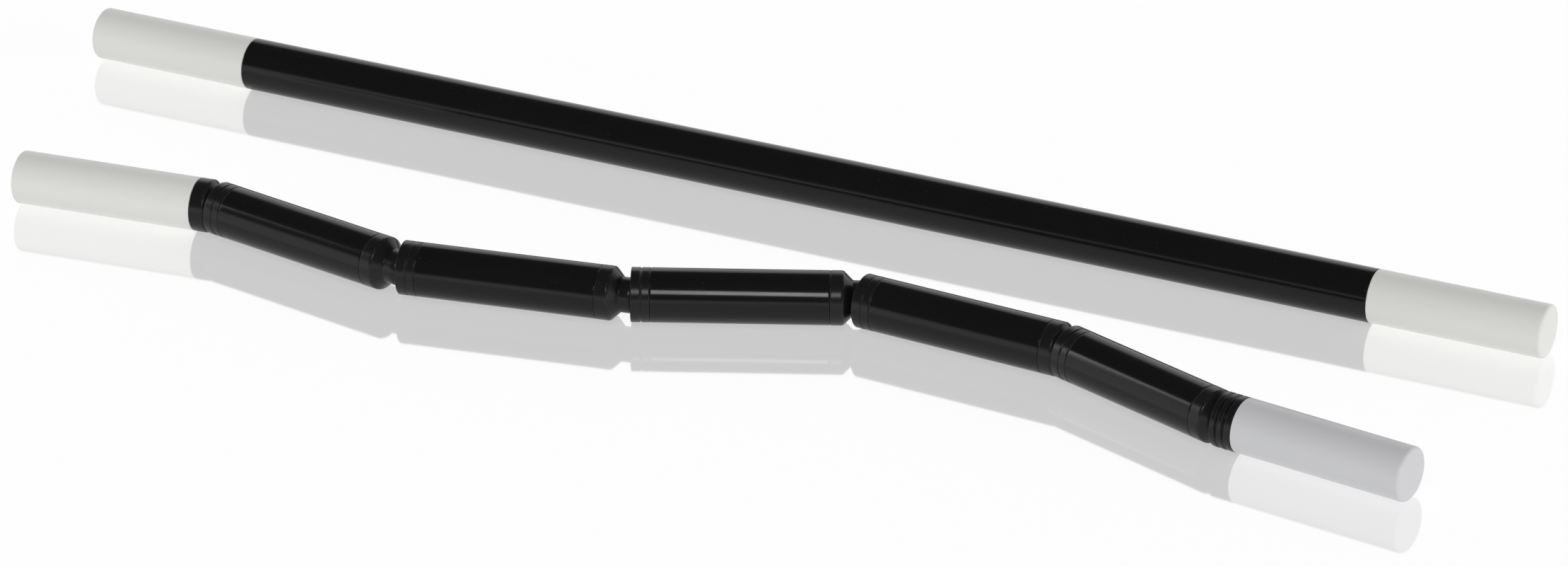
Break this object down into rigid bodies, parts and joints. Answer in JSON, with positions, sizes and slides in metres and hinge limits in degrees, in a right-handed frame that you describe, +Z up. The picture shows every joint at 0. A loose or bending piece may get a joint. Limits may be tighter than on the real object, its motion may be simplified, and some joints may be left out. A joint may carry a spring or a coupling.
{
  "type": "breakaway stick set",
  "caption": "Pair of slim black sticks with white tips: one rigid, one made of short tube links strung on a cord so it folds when slack and stiffens when pulled tight.",
  "frame": {"origin": "on the surface the sticks lie on, under the centre of their bounding box", "axes": "+X along the rigid stick, +Y from the linked stick towards the rigid stick, +Z up"},
  "size_m": [0.358, 0.09, 0.012],
  "materials": {
    "gloss_black": "glossy black moulded plastic",
    "black_fitting": "black plastic fittings, slightly softer gloss",
    "white_tip": "satin white plastic",
    "grey_tip": "satin cool-white plastic",
    "inner_plastic": "plain matte plastic, hidden inside",
    "cord": "black braided elastic cord",
    "crimp_metal": "plain steel"
  },
  "bodies": {
    "link_3": {"link_3_tube": "gloss_black", "link_3_mouth_ferrule": "black_fitting", "link_3_nose_plug": "black_fitting", "pull_cord": "cord"},
    "link_2": {"link_2_tube": "gloss_black", "link_2_mouth_ferrule": "black_fitting", "link_2_nose_plug": "black_fitting"},
    "link_1": {"link_1_tube": "gloss_black", "link_1_mouth_ferrule": "black_fitting", "link_1_nose_plug": "black_fitting"},
    "left_end": {"left_tip": "white_tip", "left_collar": "black_fitting", "left_cord_crimp": "crimp_metal"},
    "link_4": {"link_4_tube": "gloss_black", "link_4_mouth_ferrule": "black_fitting", "link_4_nose_plug": "black_fitting"},
    "link_5": {"link_5_tube": "gloss_black", "link_5_mouth_ferrule": "black_fitting", "link_5_nose_plug": "black_fitting"},
    "right_end": {"right_collar": "black_fitting", "tension_stem": "inner_plastic"},
    "right_tip": {"right_tip": "grey_tip", "cord_anchor_disc": "inner_plastic", "right_cord_crimp": "crimp_metal"},
    "straight_stick": {"straight_shaft_tube": "gloss_black", "straight_left_spigot": "inner_plastic", "straight_right_spigot": "inner_plastic", "straight_left_tip": "white_tip", "straight_right_tip": "white_tip"}
  },
  "joints": [
    {"name": "joint_left", "type": "hinge", "parent": "link_1", "child": "left_end", "pos_m": [-0.1096, -0.0305, 0.006], "axis": [0, 0, -1], "range_deg": [-1, 34]},
    {"name": "joint_1", "type": "hinge", "parent": "link_2", "child": "link_1", "pos_m": [-0.06006, -0.0395, 0.006], "axis": [0, 0, -1], "range_deg": [-59.5, 19]},
    {"name": "joint_2", "type": "hinge", "parent": "link_3", "child": "link_2", "pos_m": [-0.00877, -0.03037, 0.006], "axis": [0, 0, -1], "range_deg": [-48.5, 22.5], "deforming": ["pull_cord"]},
    {"name": "joint_3", "type": "hinge", "parent": "link_3", "child": "link_4", "pos_m": [0.03748, -0.01045, 0.006], "axis": [0, 0, 1], "range_deg": [-15, 24.5]},
    {"name": "joint_4", "type": "hinge", "parent": "link_4", "child": "link_5", "pos_m": [0.08864, -0.01349, 0.006], "axis": [0, 0, 1], "range_deg": [-0.5, 32.5]},
    {"name": "joint_right", "type": "hinge", "parent": "link_5", "child": "right_end", "pos_m": [0.12997, -0.02797, 0.006], "axis": [0, 0, 1], "range_deg": [-24, 1]},
    {"name": "tip_pull", "type": "slide", "parent": "right_end", "child": "right_tip", "axis": [0.9903, -0.1392, 0], "range_m": [0, 0.008]},
    {"name": "straight_stick_lift", "type": "slide", "parent": "link_3", "child": "straight_stick", "axis": [0, 0, 1], "range_m": [0, 0.06]}
  ]
}
